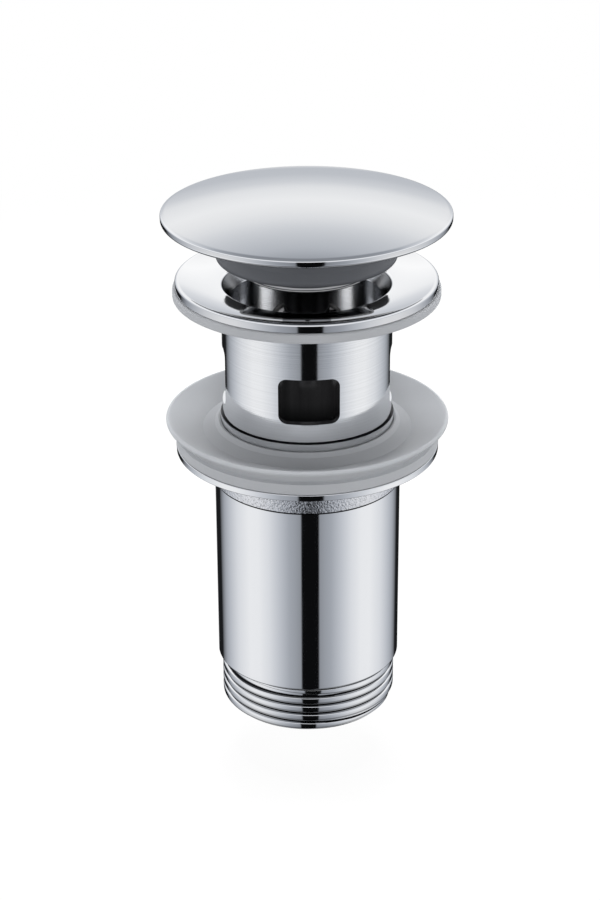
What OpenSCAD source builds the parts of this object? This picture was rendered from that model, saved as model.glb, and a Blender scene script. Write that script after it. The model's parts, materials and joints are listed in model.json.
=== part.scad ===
/* [Tail] */
// Outside diameter of the tail thread, drawn plain
thread_d = 41.91; // [38:0.01:43]
// Height of the tail from its end to the top of its flange
tail_h = 67.9; // [60:0.1:95]
// Length of the tail thread
thread_len = 12.2; // [8:0.1:20]
// Outside diameter of the tail tube
tail_d = 43.8; // [43.4:0.1:48]
// Bore of the tail below the joint
tail_bore_d = 35.4; // [28:0.1:37]
// Diameter of the rough cast neck
neck_d = 44.2; // [44:0.1:50]
// Height of the rough cast neck
neck_h = 7.4; // [5:0.1:14]
// Fillet between the neck and the tail flange
neck_fillet = 2.4; // [1:0.1:4]
// Diameter of the tail flange
tail_flange_d = 61.5; // [56:0.1:70]
// Thickness of the tail flange
tail_flange_t = 1.5; // [1:0.1:4]

/* [Lower seal] */
// Diameter of the base of the lower seal
lower_base_d = 61.4; // [56:0.1:66]
// Height of the base of the lower seal
lower_base_h = 3; // [2:0.1:5]
// Diameter over the flared lip
lower_lip_d = 66; // [64:0.1:74]
// Height of the lower seal at its lip
lower_lip_h = 6.7; // [6:0.1:10]
// Diameter of the valley inside the lip
lower_valley_d = 49; // [46:0.1:54]
// Height of the valley inside the lip
lower_valley_h = 3.7; // [3:0.1:4.5]
// Height of the inner cone against the body
lower_neck_h = 5.9; // [5:0.1:8]

/* [Body] */
// Outside diameter of the polished body tube
body_d = 39.4; // [38.6:0.1:40]
// Wall of the body tube
body_wall = 1.8; // [1.4:0.1:2.5]
// Outside diameter of the joint thread, drawn plain
joint_d = 40.4; // [40.2:0.1:41]
// Length of the joint thread
joint_len = 29.5; // [24:0.1:34]
// Joint thread that shows above the lower seal
joint_show = 1.7; // [1:0.1:6]
// Clear height between the gasket and the lower lip
basin_gap = 29.6; // [27:0.1:50]
// Diameter of the top flange
flange_d = 60.2; // [58:0.1:70]
// Thickness of the flange at its edge
flange_t = 2; // [1.5:0.1:3.5]
// Depth of the dish in the top flange
dish_depth = 1.4; // [1:0.1:3]
// Diameter of the mouth
mouth_d = 39.6; // [38:0.1:40]
// Drop of the flange underside towards the tube
flange_drop = 1.6; // [1:0.1:2]
// Number of overflow windows
window_n = 4; // [2:1:4]
// Width of an overflow window
window_w = 13.9; // [8:0.1:18]
// Height of an overflow window
window_h = 10.9; // [6:0.1:13]
// Corner radius of an overflow window
window_r = 2; // [1:0.1:2.8]
// Drop from the flange edge to the top of the windows
window_drop = 17.5; // [14:0.1:19]
// Turn of the windows about the axis
window_turn = 1.3; // [-45:0.1:45]

/* [Gasket] */
// Diameter of the flange gasket
gasket_d = 61.4; // [58:0.1:72]
// Thickness of the flange gasket
gasket_t = 2.4; // [2.2:0.1:5]

/* [Plug] */
// Travel of the plug from open to closed
plug_stroke = 5.6; // [5:0.1:7.5]
// Diameter of the cap
cap_d = 66; // [60:0.1:76]
// Rise of the dome above its rim
cap_rise = 4.4; // [3:0.1:7]
// Height of the rim band of the cap
cap_rim_h = 1.8; // [1.2:0.1:2.2]
// Wall of the domed cap
cap_wall = 1.8; // [1.2:0.1:2.2]
// Diameter of the pad and boss seat under the cap
cap_pad_d = 38; // [34:0.1:40]
// Diameter of the boss under the cap
cap_boss_d = 15; // [12:0.1:18]
// Diameter over the lip of the cap seal
cap_seal_d = 41.4; // [40.6:0.1:43]
// Diameter of the cap seal where it meets the cap
cap_seal_top_d = 39.6; // [38:0.1:41]
// Height of the cap seal
cap_seal_h = 9; // [7:0.1:12]
// Height of the rounded lip of the cap seal
cap_lip_h = 2; // [1.2:0.1:3]
// Diameter of the seal retainer
retainer_d = 29; // [24:0.1:33]
// Height of the seal retainer
retainer_h = 3.4; // [2.5:0.1:5]
// Diameter of the plunger
plunger_d = 10.4; // [9:0.1:11]
// Diameter of the plunger stud in the cap
stud_d = 6; // [5:0.1:8]
// Length of the plunger stud in the cap
stud_len = 8; // [5:0.1:9]

/* [Cartridge] */
// Outside diameter of the cartridge sleeve
sleeve_d = 16; // [15.6:0.1:18]
// Wall of the cartridge sleeve
sleeve_wall = 1.2; // [1:0.1:1.3]
// Drop from the flange edge to the top of the sleeve
sleeve_drop = 8.6; // [8:0.1:11]
// Height of the guide bush
bush_h = 4.5; // [3:0.1:6]
// Section of the stem ring
ring_d = 1.3; // [1:0.1:1.4]
// Thickness of the snap ring
snap_t = 0.8; // [0.6:0.1:1]
// Height of the plunger shoulder
shoulder_h = 2.3; // [1.5:0.1:3]
// Outside diameter of the rotor
rotor_d = 13; // [12.6:0.1:13.2]
// Depth of the cam track in the rotor
track_depth = 1; // [0.8:0.05:1.1]
// Width of the cam track across the rotor
track_w = 1.9; // [1.7:0.1:2.4]
// Diameter of the guide pins
pin_d = 1; // [0.8:0.05:1.1]
// Number of full cam cycles round the rotor
track_n = 4; // [4:1:4]
// Web at the top of the rotor
rotor_web = 2.5; // [2:0.1:3.5]
// Diameter of the spigot that carries the rotor
spigot_d = 4; // [3.4:0.1:4.4]
// Wire diameter of the spring
wire_d = 0.9; // [0.7:0.05:1]
// Mean diameter of the spring
spring_d = 7.8; // [7.6:0.05:8]
// Turns of the spring
spring_turns = 8; // [6:1:10]
// Diameter of the stud below the cartridge base
base_stud_d = 8; // [6:0.1:9]
// Height of the shoulder of the cartridge base
base_shoulder_h = 2; // [1.5:0.1:4]
// Height of the base spigot inside the sleeve
base_spigot_h = 4; // [3:0.1:5]
// Height of the nipple that centres the spring
nipple_h = 3; // [2:0.1:4]
// Height of the spider
spider_h = 5; // [4:0.1:7]
// Height of the spider above the end of the body
spider_rise = 10.5; // [9.5:0.1:13]
// Thickness of a spider arm
spider_arm = 3; // [2:0.1:4]
// Diameter of the spider hub
hub_d = 15; // [13:0.1:18]
// Width across the flats of the lock nut
nut_flats = 13; // [12:0.1:15]
// Height of the lock nut
nut_h = 5; // [4:0.1:6]
// Thickness of the lock washer
washer_t = 1; // [0.8:0.1:1.6]

/* [Hidden] */
$fn = 96;

// Clearances shared by the pieces that meet
fit = 0.05;
seat = 0.05;
loose = 0.3;
edge = 0.4;
cut = 1;

// Colours of the finishes
chrome = [0.86, 0.87, 0.89];
brass = [0.80, 0.66, 0.36];
steel = [0.66, 0.67, 0.69];
pale_rubber = [0.62, 0.64, 0.67];
dark_rubber = [0.30, 0.31, 0.33];
black_rubber = [0.10, 0.10, 0.11];
white_plastic = [0.90, 0.90, 0.88];
black_plastic = [0.08, 0.08, 0.09];

// Radii
thread_r = thread_d / 2;
tail_r = tail_d / 2;
tail_bore_r = tail_bore_d / 2;
neck_r = neck_d / 2;
tail_flange_r = tail_flange_d / 2;
joint_r = joint_d / 2;
body_r = body_d / 2;
bore_r = body_r - body_wall;
ledge_w = 0.8;
flange_r = flange_d / 2;
mouth_r = mouth_d / 2;
gasket_r = gasket_d / 2;
gasket_hole_r = body_r + 0.2;
lower_hole_r = joint_r + 0.1;
cap_r = cap_d / 2;
boss_r = cap_boss_d / 2;
plunger_r = plunger_d / 2;
sleeve_r = sleeve_d / 2;
sleeve_bore_r = sleeve_r - sleeve_wall;
spigot_r = spigot_d / 2;
spring_r = spring_d / 2;
wire_r = wire_d / 2;
rotor_r = rotor_d / 2;
rotor_bore_r = spring_r + wire_r + 0.25;
base_stud_r = base_stud_d / 2;
hub_hole_r = base_stud_r + 0.1;
nipple_r = spring_r - wire_r - 0.4;

// Heights, from the end of the tail upwards
z_tail_top = tail_h;
z_tail_flange = z_tail_top - tail_flange_t;
z_neck = z_tail_flange - neck_h;
z_lip = z_tail_top + lower_lip_h;
z_gasket = z_lip + basin_gap;
z_flange = z_gasket + gasket_t;
z_top = z_flange + flange_t;
z_mouth = z_top - dish_depth;
z_root = z_flange - flange_drop;
z_joint_top = z_tail_top + lower_neck_h + joint_show;
z_body_end = z_joint_top - joint_len;
z_joint_floor = z_body_end - loose;
z_window = z_top - window_drop - window_h / 2;

z_spider = z_body_end + spider_rise;
z_base = z_spider + spider_h;
z_sleeve = z_base + base_shoulder_h;
z_spring_seat = z_sleeve + base_spigot_h;
z_sleeve_top = z_top - sleeve_drop;
z_snap = z_sleeve_top - edge - snap_t;
z_bush_top = z_snap - ring_d - 2 * fit;
z_bush = z_bush_top - bush_h;
z_shoulder = z_bush - loose - shoulder_h;
z_rotor_top = z_shoulder - 0.2;
z_web = z_rotor_top - rotor_web;
clip_t = 0.6;
z_clip = z_web - loose - clip_t;
z_spigot_end = z_clip - 1.2;
track_over = 0.8;
track_rim = 1.1;
z_pin_low = z_web - track_over - plug_stroke + rotor_web / 2;
z_rotor = z_pin_low - track_over - track_rim;

seal_clear = 0.4;
pad_drop = 2;
z_cap_seal = z_mouth + plug_stroke + seal_clear;
z_pad = z_cap_seal + cap_seal_h;
z_retainer = z_cap_seal - retainer_h;
z_boss = z_retainer + edge;
z_rim_top = z_pad + pad_drop;
z_rim = z_rim_top - cap_rim_h;
z_apex = z_rim_top + cap_rise;
dome_r = (cap_r * cap_r + cap_rise * cap_rise) / (2 * cap_rise);

// Points along an arc about a centre, from one angle to another
function arc(cx, cz, r, from, to, n = 6) =
    [for (i = [0:n]) [cx + r * cos(from + (to - from) * i / n), cz + r * sin(from + (to - from) * i / n)]];

// Points along a shallow sagging line between two points
function sag(a, b, depth, n = 6) =
    [for (i = [0:n]) let (t = i / n) [a[0] + (b[0] - a[0]) * t, a[1] + (b[1] - a[1]) * t - 4 * depth * t * (1 - t)]];

// A tube or washer between two heights
module ring(r_out, r_in, z0, z1) {
    difference() {
        translate([0, 0, z0]) cylinder(r = r_out, h = z1 - z0);
        translate([0, 0, z0 - cut]) cylinder(r = r_in, h = z1 - z0 + 2 * cut);
    }
}

// A rectangle with round corners, centred
module round_rect(w, h, r) {
    square([w - 2 * r, h], center = true);
    square([w, h - 2 * r], center = true);
    for (x = [-1, 1], y = [-1, 1])
        translate([x * (w / 2 - r), y * (h / 2 - r)]) circle(r = r, $fn = 32);
}

// Domed cap with a shell underside, a pad for the seal and a tapped boss
module cap() {
    rim_round = 0.45;
    shell_r = cap_r - cap_wall;
    color(chrome) difference() {
        union() {
            intersection() {
                translate([0, 0, z_apex - dome_r]) sphere(r = dome_r, $fn = 200);
                rotate_extrude() polygon(concat(
                    [[0, z_rim]],
                    arc(cap_r - rim_round, z_rim + rim_round, rim_round, -90, 0),
                    [[cap_r, z_apex + cut], [0, z_apex + cut]]
                ));
            }
            translate([0, 0, z_pad]) cylinder(d = cap_pad_d, h = z_rim_top - z_pad);
            translate([0, 0, z_boss]) cylinder(r = boss_r, h = z_pad - z_boss + cut);
        }
        difference() {
            intersection() {
                translate([0, 0, z_apex - dome_r]) sphere(r = dome_r - cap_wall, $fn = 200);
                translate([0, 0, z_rim - cut]) cylinder(r = shell_r, h = z_apex - z_rim + cut);
            }
            translate([0, 0, z_pad - cut]) cylinder(d = cap_pad_d, h = z_apex - z_pad + cut);
        }
        translate([0, 0, z_boss - cut]) cylinder(d = stud_d + 2 * fit, h = stud_len + edge + cut);
    }
}

// Rubber plug seal, nearly straight down from the cap to a rounded lip
module cap_seal() {
    lip_r = cap_seal_d / 2;
    lip_round = cap_lip_h / 2;
    lip_angle = 60;
    foot_r = lip_r - cap_lip_h * 0.6;
    z_neck_in = z_cap_seal + cap_lip_h * 1.6;
    hole_r = boss_r + fit;
    color(dark_rubber) rotate_extrude() polygon(concat(
        [[hole_r, z_cap_seal], [foot_r, z_cap_seal]],
        arc(lip_r - lip_round, z_cap_seal + lip_round, lip_round, -lip_angle, lip_angle),
        [[cap_seal_top_d / 2, z_neck_in],
         [cap_seal_top_d / 2, z_pad], [hole_r, z_pad]]
    ));
}

// Turned ring that holds the seal against the cap
module seal_retainer() {
    r = retainer_d / 2;
    hole_r = boss_r + fit;
    groove = 0.18;
    line_n = 4;
    pitch = (retainer_h - 2 * edge) / line_n;
    color(chrome) difference() {
        rotate_extrude() polygon([
            [hole_r, z_retainer], [r - edge, z_retainer], [r, z_retainer + edge],
            [r, z_cap_seal], [hole_r, z_cap_seal]
        ]);
        for (i = [0:line_n - 1])
            ring(r + cut, r - groove, z_retainer + edge + pitch * (i + 0.3), z_retainer + edge + pitch * (i + 0.7));
    }
}

// Turned plunger with its stud, shoulder and the spigot that carries the rotor
module plunger() {
    stud_r = stud_d / 2;
    shoulder_r = sleeve_bore_r - loose;
    groove_r = spigot_r - 0.4;
    color(chrome) rotate_extrude() polygon([
        [0, z_spigot_end], [spigot_r - 0.2, z_spigot_end], [spigot_r, z_spigot_end + 0.2],
        [spigot_r, z_clip - 0.1], [groove_r, z_clip - 0.1],
        [groove_r, z_clip + clip_t + 0.1], [spigot_r, z_clip + clip_t + 0.1],
        [spigot_r, z_shoulder], [shoulder_r, z_shoulder], [shoulder_r, z_shoulder + shoulder_h],
        [plunger_r, z_shoulder + shoulder_h], [plunger_r, z_boss],
        [stud_r, z_boss], [stud_r, z_boss + stud_len - edge], [stud_r - edge, z_boss + stud_len],
        [0, z_boss + stud_len]
    ]);
}

// One helical leg of the cam track, rising as it turns
module track_leg(turn) {
    reach = plug_stroke + 2 * track_over;
    twist = turn * reach / plug_stroke;
    translate([0, 0, z_pin_low - track_over]) rotate([0, 0, -turn * track_over / plug_stroke])
        linear_extrude(height = reach, twist = -twist, slices = 8, $fn = 8)
            translate([rotor_r - track_depth, -track_w / 2]) square([track_depth + cut, track_w]);
}

// Drum with a zigzag cam track that turns it half a cycle on each stroke
module rotor() {
    half = 180 / track_n;
    color(white_plastic) difference() {
        rotate_extrude() polygon([
            [rotor_bore_r, z_rotor], [rotor_r - edge, z_rotor], [rotor_r, z_rotor + edge],
            [rotor_r, z_rotor_top - edge], [rotor_r - edge, z_rotor_top],
            [spigot_r + 0.1, z_rotor_top], [spigot_r + 0.1, z_web], [rotor_bore_r, z_web]
        ]);
        for (i = [0:track_n - 1]) {
            rotate([0, 0, i * 2 * half]) track_leg(half);
            rotate([0, 0, i * 2 * half]) track_leg(-half);
        }
    }
}

// Open clip in the spigot groove under the rotor
module rotor_clip() {
    clip_hole_r = spigot_r - 0.4 + fit;
    clip_r = spring_r - wire_r - 0.3;
    color(steel) difference() {
        ring(clip_r, clip_hole_r, z_clip, z_clip + clip_t);
        translate([0, -clip_hole_r * 0.8, z_clip - cut])
            cube([clip_r + cut, clip_hole_r * 1.6, clip_t + 2 * cut]);
    }
}

// Coil spring swept round the axis, with close turns at both ends
module spring() {
    sides = 8;
    steps = 16;
    z0 = z_spring_seat + wire_r + seat;
    z1 = z_web - wire_r - seat;
    close = wire_d * 1.03;
    open = (z1 - z0 - 2 * close) / (spring_turns - 2);
    last = spring_turns * steps;
    function climb(t) = t < 1 ? close * t
        : t > spring_turns - 1 ? z1 - z0 - close * (spring_turns - t)
        : close + open * (t - 1);
    points = [for (i = [0:last], k = [0:sides - 1])
        let (t = i / steps, a = 360 * t, b = 360 * k / sides, r = spring_r + wire_r * cos(b))
        [r * cos(a), r * sin(a), z0 + climb(t) + wire_r * sin(b)]];
    walls = [for (i = [0:last - 1], k = [0:sides - 1])
        let (a = i * sides + k, b = i * sides + (k + 1) % sides)
        [a, b, b + sides, a + sides]];
    ends = [[for (k = [sides - 1:-1:0]) k], [for (k = [0:sides - 1]) last * sides + k]];
    color(steel) polyhedron(points, concat(walls, ends), convexity = 10);
}

// Brass tube that houses the rotor, the spring and the guide bush
module cartridge_sleeve() {
    z_pin = z_pin_low;
    color(black_plastic) difference() {
        rotate_extrude() polygon([
            [sleeve_bore_r, z_sleeve], [sleeve_r, z_sleeve], [sleeve_r, z_sleeve_top - edge],
            [sleeve_r - edge, z_sleeve_top], [sleeve_bore_r, z_sleeve_top],
            [sleeve_bore_r, z_snap + snap_t + fit],
            [sleeve_bore_r + sleeve_wall / 2, z_snap + snap_t + fit],
            [sleeve_bore_r + sleeve_wall / 2, z_snap - fit], [sleeve_bore_r, z_snap - fit]
        ]);
        for (a = [0, 180]) rotate([0, 0, a]) translate([0, 0, z_pin]) rotate([0, 90, 0])
            cylinder(d = pin_d + 0.04, h = sleeve_r + cut, $fn = 24);
    }
}

// Two pins through the sleeve wall that run in the cam track
module guide_pins() {
    tip_r = rotor_r - track_depth + 0.2;
    color(steel) for (a = [0, 180]) rotate([0, 0, a]) translate([tip_r, 0, z_pin_low]) rotate([0, 90, 0])
        cylinder(d = pin_d, h = sleeve_r - 0.1 - tip_r, $fn = 24);
}

// Plain bush that guides the plunger
module guide_bush() {
    color(white_plastic) ring(sleeve_bore_r - fit, plunger_r + fit, z_bush, z_bush_top);
}

// Rubber ring that wipes the plunger above the bush
module stem_ring() {
    mid_r = (plunger_r + sleeve_bore_r) / 2;
    section_r = min(ring_d, sleeve_bore_r - plunger_r - 2 * fit) / 2;
    color(black_rubber) rotate_extrude() translate([mid_r, z_bush_top + fit + ring_d / 2])
        circle(r = section_r, $fn = 32);
}

// Open wire ring in the sleeve groove
module snap_ring() {
    gap = 4;
    r_out = sleeve_bore_r + sleeve_wall / 2 - fit;
    color(steel) difference() {
        ring(r_out, plunger_r + loose, z_snap, z_snap + snap_t);
        translate([0, -gap / 2, z_snap - cut]) cube([r_out + cut, gap, snap_t + 2 * cut]);
    }
}

// Turned end plug of the cartridge, with the stud that passes the spider
module cartridge_base() {
    stud_end = z_spider - washer_t - nut_h - 1;
    spigot = sleeve_bore_r - fit;
    color(brass) rotate_extrude() polygon([
        [0, stud_end], [base_stud_r - edge, stud_end], [base_stud_r, stud_end + edge],
        [base_stud_r, z_base], [sleeve_r, z_base], [sleeve_r, z_sleeve],
        [spigot, z_sleeve], [spigot, z_spring_seat],
        [nipple_r, z_spring_seat], [nipple_r, z_spring_seat + nipple_h - edge],
        [nipple_r - edge, z_spring_seat + nipple_h], [0, z_spring_seat + nipple_h]
    ]);
}

// Cast cross that stands on the ledge inside the body
module spider() {
    rim_r = bore_r - fit;
    rim_w = 1.5;
    arm_h = spider_h - 1;
    color(chrome) difference() {
        union() {
            ring(rim_r, rim_r - rim_w, z_spider, z_base);
            translate([0, 0, z_spider]) cylinder(d = hub_d, h = spider_h);
            intersection() {
                for (a = [45, 135]) rotate([0, 0, a]) translate([-bore_r, -spider_arm / 2, z_spider])
                    cube([2 * bore_r, spider_arm, arm_h]);
                translate([0, 0, z_spider]) cylinder(r = rim_r - rim_w / 2, h = spider_h);
            }
        }
        translate([0, 0, z_spider - cut]) cylinder(r = hub_hole_r, h = spider_h + 2 * cut);
    }
}

// Plain washer between the spider and the nut
module lock_washer() {
    color(steel) ring(nut_flats / 2 + 0.5, hub_hole_r, z_spider - washer_t, z_spider);
}

// Hexagon nut with a chamfered lower face
module lock_nut() {
    corner_r = nut_flats / 2 / cos(30);
    z1 = z_spider - washer_t;
    z0 = z1 - nut_h;
    color(brass) difference() {
        intersection() {
            translate([0, 0, z0]) cylinder(r = corner_r, h = nut_h, $fn = 6);
            rotate_extrude() polygon([
                [0, z0], [nut_flats / 2, z0], [corner_r + 0.1, z0 + 0.8], [corner_r + 0.1, z1], [0, z1]
            ]);
        }
        translate([0, 0, z0 - cut]) cylinder(r = base_stud_r + fit, h = nut_h + 2 * cut);
    }
}

// Flanged body with a dished mouth, overflow windows and the joint thread
module upper_body() {
    rim = 0.6;
    lip = 0.5;
    throat = 3.4;
    dish_sag = 0.25;
    groove_r = body_r - 0.6;
    z_groove_top = z_joint_top + 0.6;
    color(chrome) difference() {
        rotate_extrude() polygon(concat(
            [[bore_r - ledge_w, z_body_end], [joint_r - edge, z_body_end], [joint_r, z_body_end + edge],
             [joint_r, z_joint_top], [groove_r, z_joint_top], [groove_r, z_groove_top], [body_r, z_groove_top],
             [body_r, z_root], [flange_r, z_flange]],
            arc(flange_r - rim, z_top - rim, rim, 0, 90),
            sag([flange_r - rim - edge, z_top - edge / 4], [mouth_r + lip, z_mouth], dish_sag),
            arc(mouth_r, z_mouth - lip, lip, 90, 180),
            [[bore_r, z_mouth - lip - throat], [bore_r, z_spider], [bore_r - ledge_w, z_spider]]
        ));
        for (i = [0:window_n - 1])
            rotate([90, 0, window_turn + i * 360 / window_n]) translate([0, z_window, 0])
                linear_extrude(height = body_r + cut) round_rect(window_w, window_h, window_r);
    }
}

// Gasket with a flat foot and a top that follows the flange underside
module flange_gasket() {
    round = 0.6;
    color(pale_rubber) rotate_extrude() polygon(concat(
        [[gasket_hole_r, z_gasket]],
        arc(gasket_r - round, z_gasket + round, round, -90, 0, 4),
        arc(gasket_r - round, z_flange - seat - round, round, 0, 90, 4),
        [[flange_r, z_flange - seat], [body_r + 0.6, z_root - seat], [gasket_hole_r, z_root - seat]]
    ));
}

// Moulded seal with a flared lip, a valley and an inner cone against the body
module lower_seal() {
    base_r = lower_base_d / 2;
    lip_r = lower_lip_d / 2;
    tip = 0.6;
    tip_from = -45;
    tip_to = 110;
    waist = 0.7;
    top_sag = 0.35;
    cone_w = 1.4;
    cone_flat = 0.5;
    cone_h = 0.9;
    z_cone = z_tail_top + lower_neck_h;
    z_waist = z_tail_top + lower_base_h;
    z_valley = z_tail_top + lower_valley_h;
    color(pale_rubber) rotate_extrude() polygon(concat(
        [[lower_hole_r, z_tail_top], [base_r - edge, z_tail_top], [base_r, z_tail_top + edge],
         [base_r, z_waist - edge], [base_r - waist, z_waist], [base_r - waist, z_waist + edge / 2]],
        arc(lip_r - tip, z_lip - tip, tip, tip_from, tip_to),
        sag([lip_r - tip * 2, z_lip - tip / 3], [lower_valley_d / 2, z_valley], top_sag),
        [[lower_hole_r + cone_w, z_cone - cone_h], [lower_hole_r + cone_flat, z_cone], [lower_hole_r, z_cone]]
    ));
}

// Flanged tail with a rough neck, a polished tube and the plain thread cylinder
module tail() {
    lead = 1;
    step = edge / 2;
    joint_bore_r = joint_r + fit;
    color(chrome) rotate_extrude() polygon(concat(
        [[tail_bore_r, 0], [thread_r - lead, 0], [thread_r, lead], [thread_r, thread_len],
         [tail_r - edge, thread_len], [tail_r, thread_len + edge], [tail_r, z_neck],
         [neck_r, z_neck + step]],
        arc(neck_r + neck_fillet, z_tail_flange - neck_fillet, neck_fillet, 180, 90),
        [[tail_flange_r - step, z_tail_flange], [tail_flange_r, z_tail_flange + step],
         [tail_flange_r, z_tail_top - step], [tail_flange_r - step, z_tail_top],
         [joint_bore_r + edge, z_tail_top], [joint_bore_r, z_tail_top - edge],
         [joint_bore_r, z_joint_floor], [tail_bore_r, z_joint_floor]]
    ));
}

cap();
cap_seal();
seal_retainer();
plunger();
rotor();
rotor_clip();
spring();
cartridge_sleeve();
guide_pins();
guide_bush();
stem_ring();
snap_ring();
cartridge_base();
spider();
lock_washer();
lock_nut();
upper_body();
flange_gasket();
lower_seal();
tail();
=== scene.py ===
"""Dresses the pop up basin waste: polished chrome, cast neck, rubber seals, threads and a studio."""

from __future__ import annotations

import json
import logging
import math
from dataclasses import dataclass
from enum import Enum
from typing import Callable, Iterable, Sequence

import bmesh
import bpy
from mathutils import Euler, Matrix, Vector

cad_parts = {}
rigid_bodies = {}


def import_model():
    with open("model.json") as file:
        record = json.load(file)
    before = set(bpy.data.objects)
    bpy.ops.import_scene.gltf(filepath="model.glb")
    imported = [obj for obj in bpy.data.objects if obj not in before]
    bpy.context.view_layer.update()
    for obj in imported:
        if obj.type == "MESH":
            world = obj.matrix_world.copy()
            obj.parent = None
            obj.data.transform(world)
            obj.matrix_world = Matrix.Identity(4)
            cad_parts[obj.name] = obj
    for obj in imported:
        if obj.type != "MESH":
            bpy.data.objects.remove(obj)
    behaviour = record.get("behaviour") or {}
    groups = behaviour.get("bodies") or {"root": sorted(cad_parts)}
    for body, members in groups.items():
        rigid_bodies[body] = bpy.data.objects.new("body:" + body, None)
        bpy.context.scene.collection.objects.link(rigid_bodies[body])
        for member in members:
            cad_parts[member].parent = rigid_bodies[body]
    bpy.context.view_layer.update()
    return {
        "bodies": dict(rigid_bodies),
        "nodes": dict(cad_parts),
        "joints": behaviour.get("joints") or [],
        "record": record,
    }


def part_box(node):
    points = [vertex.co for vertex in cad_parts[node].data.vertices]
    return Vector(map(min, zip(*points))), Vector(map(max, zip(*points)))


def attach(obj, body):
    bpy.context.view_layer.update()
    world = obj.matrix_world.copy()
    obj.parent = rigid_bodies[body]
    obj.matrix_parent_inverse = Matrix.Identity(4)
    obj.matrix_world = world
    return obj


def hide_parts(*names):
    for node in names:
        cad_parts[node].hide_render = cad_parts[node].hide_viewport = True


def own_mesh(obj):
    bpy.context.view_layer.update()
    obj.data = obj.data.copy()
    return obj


MM = 0.001
TINY = 1e-7
SEGMENTS = 224
SHARP_ANGLE = math.radians(32)
LOG = logging.getLogger("basin_waste")

Point = tuple[float, float]
Colour = tuple[float, float, float, float]
Socket = bpy.types.NodeSocket
Material = bpy.types.Material
Piece = bpy.types.Object
Feeds = dict[str | int, object]
Ring = list[bmesh.types.BMVert]


class Body(Enum):
    """The rigid bodies that new pieces ride on."""

    UPPER = "upper"
    PLUG = "plug"
    CLAMP = "clamp"
    TAIL = "tail"


class Slot(Enum):
    """The record's material slots, given for each new piece."""

    CHROME = "chrome"
    STEEL = "spring_steel"
    PALE_RUBBER = "pale_rubber"
    DARK_RUBBER = "dark_rubber"


class NodeTree:
    """A thin helper that adds and links nodes in one node tree."""

    COOL_BELOW = 0.95
    COOL_SPAN = 0.5
    COOL_TINT = (-0.06, -0.01, 0.08)

    def __init__(self, tree: bpy.types.NodeTree) -> None:
        """Keeps the tree that nodes are added to."""
        self.tree = tree

    def add(self, kind: str, feeds: Feeds | None = None, **values: object) -> bpy.types.Node:
        """Adds one node, sets its properties and feeds its inputs.

        Args:
            kind: The node's type name.
            feeds: Sockets to link or values to set, by the name or number of the input.
            values: Properties of the node by name.

        Returns:
            The new node.
        """
        node = self.tree.nodes.new(kind)
        for name, value in values.items():
            setattr(node, name, value)
        self.feed(node, feeds or {})
        return node

    def feed(self, node: bpy.types.Node, feeds: Feeds) -> None:
        """Links sockets to a node's inputs, or sets the inputs to values.

        Args:
            node: The node to feed.
            feeds: Sockets or values, by the name or number of the input.
        """
        for key, value in feeds.items():
            if isinstance(value, Socket):
                self.tree.links.new(value, node.inputs[key])
            else:
                node.inputs[key].default_value = value

    def math(self, operation: str, *inputs: object) -> Socket:
        """Adds a Math node on sockets or numbers.

        Args:
            operation: The node's operation.
            inputs: Sockets to link or numbers to set, in order.

        Returns:
            The result socket.
        """
        return self.add("ShaderNodeMath", dict(enumerate(inputs)), operation=operation).outputs[0]

    def spread(self, value: Socket, source: Point, target: Point, soft: bool = False) -> Socket:
        """Maps a value from one range to another and keeps it inside.

        Args:
            value: The value's socket.
            source: Both ends of its range.
            target: What those ends become.
            soft: True for an even start and end.

        Returns:
            The mapped value's socket.
        """
        feeds = dict(enumerate((value, *source, *target)))
        kind = "SMOOTHSTEP" if soft else "LINEAR"
        return self.add("ShaderNodeMapRange", feeds, interpolation_type=kind).outputs["Result"]

    def stretch(self, place: Socket, scale: tuple[float, float, float]) -> Socket:
        """Scales coordinates along each axis."""
        return self.add("ShaderNodeMapping", {"Vector": place, "Scale": scale}).outputs["Vector"]

    def noise(self, place: Socket, scale: float, detail: float) -> Socket:
        """Adds a noise texture.

        Args:
            place: The coordinates' socket.
            scale: Patches per metre.
            detail: Octaves of finer noise.

        Returns:
            The noise's value socket.
        """
        feeds = {"Vector": place, "Scale": scale, "Detail": detail}
        return self.add("ShaderNodeTexNoise", feeds).outputs["Fac"]

    def tone(self, factor: Socket, low: Colour | Socket, high: Colour | Socket) -> Socket:
        """Mixes two colours.

        Args:
            factor: The socket that goes from the low to the high colour.
            low: Colour at 0.
            high: Colour at 1.

        Returns:
            The mixed colour's socket.
        """
        feeds = {"Factor": factor, "A": low, "B": high}
        return self.add("ShaderNodeMix", feeds, data_type="RGBA").outputs["Result"]

    def bump(self, height: Socket, depth: float, strength: float = 1.0) -> bpy.types.Node:
        """Adds a fine relief.

        Args:
            height: The relief's height socket.
            depth: Its full height in metres.
            strength: How much of it shows.

        Returns:
            The Bump node.
        """
        return self.add("ShaderNodeBump", {"Height": height, "Distance": depth, "Strength": strength})

    def ramp(self, factor: Socket, stops: Sequence[Point]) -> Socket:
        """Adds a grey colour ramp.

        Args:
            factor: The socket that drives the ramp.
            stops: Pairs of position and grey level, the middle greys a little cooler.

        Returns:
            The ramp's colour socket.
        """
        node = self.add("ShaderNodeValToRGB", {0: factor})
        elements = node.color_ramp.elements
        while len(elements) < len(stops):
            elements.new(1.0)
        for element, (position, level) in zip(elements, stops):
            cool = min(1.0, max(0.0, (self.COOL_BELOW - level) / self.COOL_SPAN))
            element.position = position
            element.color = (*(level * (1 + tint * cool) for tint in self.COOL_TINT), 1.0)
        return node.outputs[0]


def grey(level: float) -> Colour:
    """A neutral colour of one level."""
    return level, level, level, 1.0


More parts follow.
